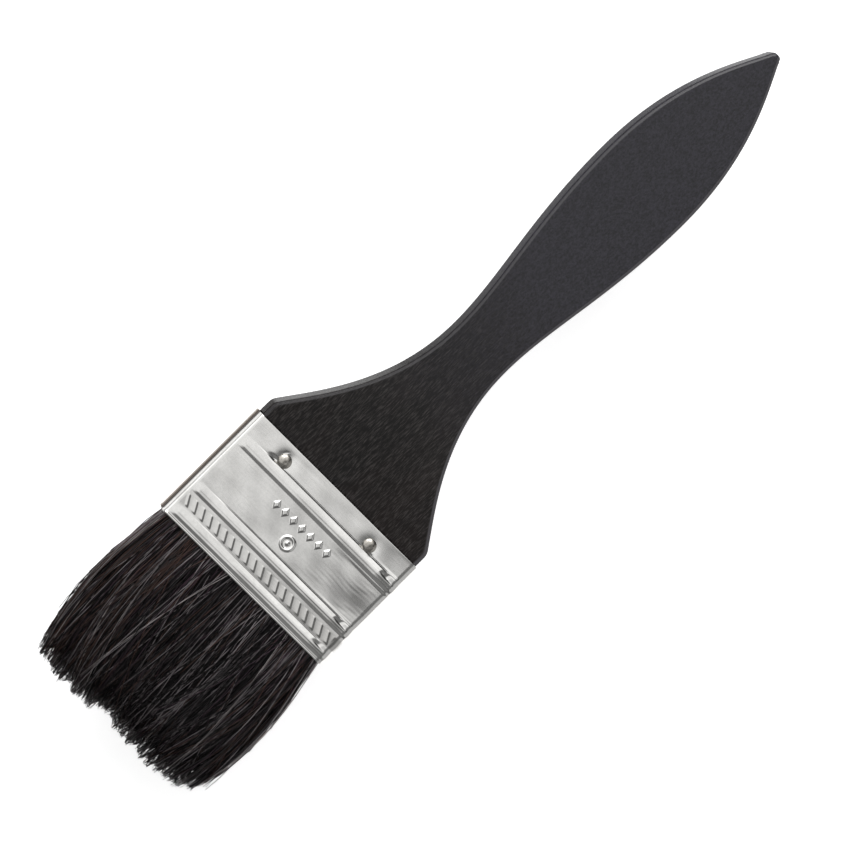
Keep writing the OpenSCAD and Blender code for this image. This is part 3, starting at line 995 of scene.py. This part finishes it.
def add_light(name, place, size, power):
    """A round soft light that points at the brush."""
    data = bpy.data.lights.new(name, "AREA")
    data.shape = "DISK"
    data.size = size
    data.energy = power
    light = bpy.data.objects.new(name, data)
    light.location = place
    light.rotation_euler = (-Vector(place)).to_track_quat("-Z", "Y").to_euler()
    bpy.context.scene.collection.objects.link(light)


def panel_glow(tree, towards, full, gone, strength):
    """How much light a soft white panel gives, in each direction seen from the brush."""
    coord = tree.nodes.new("ShaderNodeTexCoord")
    dot = tree.nodes.new("ShaderNodeVectorMath")
    dot.operation = "DOT_PRODUCT"
    dot.inputs[1].default_value = Vector(towards).normalized()
    tree.links.new(coord.outputs["Generated"], dot.inputs[0])
    fall = tree.nodes.new("ShaderNodeMapRange")
    fall.interpolation_type = "SMOOTHSTEP"
    fall.inputs["From Min"].default_value = math.cos(math.radians(gone))
    fall.inputs["From Max"].default_value = math.cos(math.radians(full))
    fall.inputs["To Max"].default_value = strength
    tree.links.new(dot.outputs["Value"], fall.inputs["Value"])
    return fall.outputs["Result"]


def build_world():
    """A dim grey studio with soft white panels."""
    # Each panel's direction, the degrees at which it starts to fade and is gone, and its strength
    panels = (
        ((-0.36, 0.16, 1.00), 28, 38, 0.96),
        ((-0.60, 0.06, 0.85), 8, 24, 0.50),
        ((-0.45, 0.62, 0.75), 14, 34, 0.95),
        ((0.20, 0.40, 0.90), 8, 16, 0.46),
        ((0.10, -0.80, 0.55), 15, 55, 0.17),
        ((0.42, 0.00, 0.906), 8, 14, 0.13),
        ((0.90, 0.10, 0.42), 22, 34, 0.50),
        ((-1.00, 0.05, 0.25), 8, 22, 1.10),
    )
    world = bpy.data.worlds.new("studio")
    world.use_nodes = True
    bpy.context.scene.world = world
    tree = world.node_tree
    total = None
    for panel in panels:
        add = tree.nodes.new("ShaderNodeMath")
        add.inputs[0].default_value = STUDIO_GREY
        if total is not None:
            tree.links.new(total, add.inputs[0])
        tree.links.new(panel_glow(tree, *panel), add.inputs[1])
        total = add.outputs[0]
    tree.links.new(total, tree.nodes["Background"].inputs["Color"])


def build_floor(material):
    """A wide plain floor, low enough for the tuft to clear it when it bends down."""
    ends = np.array([-3000.0, 3000.0])
    x, y = np.meshgrid(ends, ends, indexing="ij")
    level = np.full(4, cad_box[0].z / MM - FLOOR_DROP)
    points = np.stack([x.ravel(), y.ravel(), level], axis=1)
    floor = add_mesh("floor", points, grid_faces(2, 2), [material], flip=True)


# ---------------------------------------------------------------- build


def dress(node, material):
    """Gives a CAD node that stays its finished material."""
    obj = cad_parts[node]
    for i in range(max(1, len(obj.material_slots))):
        if i < len(obj.material_slots):
            obj.material_slots[i].material = material
        else:
            obj.data.materials.append(material)


def main():
    """Makes the studio, then the brush from its handle to its bristles."""
    bpy.context.scene.view_settings.view_transform = "Standard"
    build_camera()
    build_world()
    add_light("key", (-0.5, 0.75, 0.9), 0.9, 7)
    build_floor(pale_floor())
    build_handle(handle_paint())
    build_ferrule(tinplate())
    steel = nail_steel()
    for face_name, face in (("front", 1), ("back", -1)):
        for side_name, side in (("left", -1), ("right", 1)):
            build_nail(f"nail_{face_name}_{side_name}", side, face, steel)
    dress("cement_setting", amber_cement())
    dress("filler_plug", raw_wood())
    tones = [
        bristle_tone("bristle_black", (0.0024, 0.0016, 0.0019), 0.42, 0.18),
        bristle_tone("bristle_charcoal", (0.017, 0.0125, 0.014), 0.34, 0.5),
        bristle_tone("bristle_plum", (0.034, 0.017, 0.026), 0.36, 0.4),
        bristle_tone("bristle_brown", (0.048, 0.024, 0.018), 0.38, 0.4),
        # The grey and pale tones are painted sheen: hairs coloured light to stand for hairs that catch the
        # light
        bristle_tone("bristle_grey_sheen", (0.160, 0.142, 0.146), 0.32, 0.7),
        bristle_tone("bristle_pale_sheen", (0.34, 0.31, 0.30), 0.36, 0.5),
    ]
    dress("bristle_roots_front", tones[0])
    dress("bristle_roots_back", tones[0])
    build_layer("bristles_front_layer", "bristles_front", 1, 101, tones)
    build_layer("bristles_back_layer", "bristles_back", -1, 202, tones)


main()
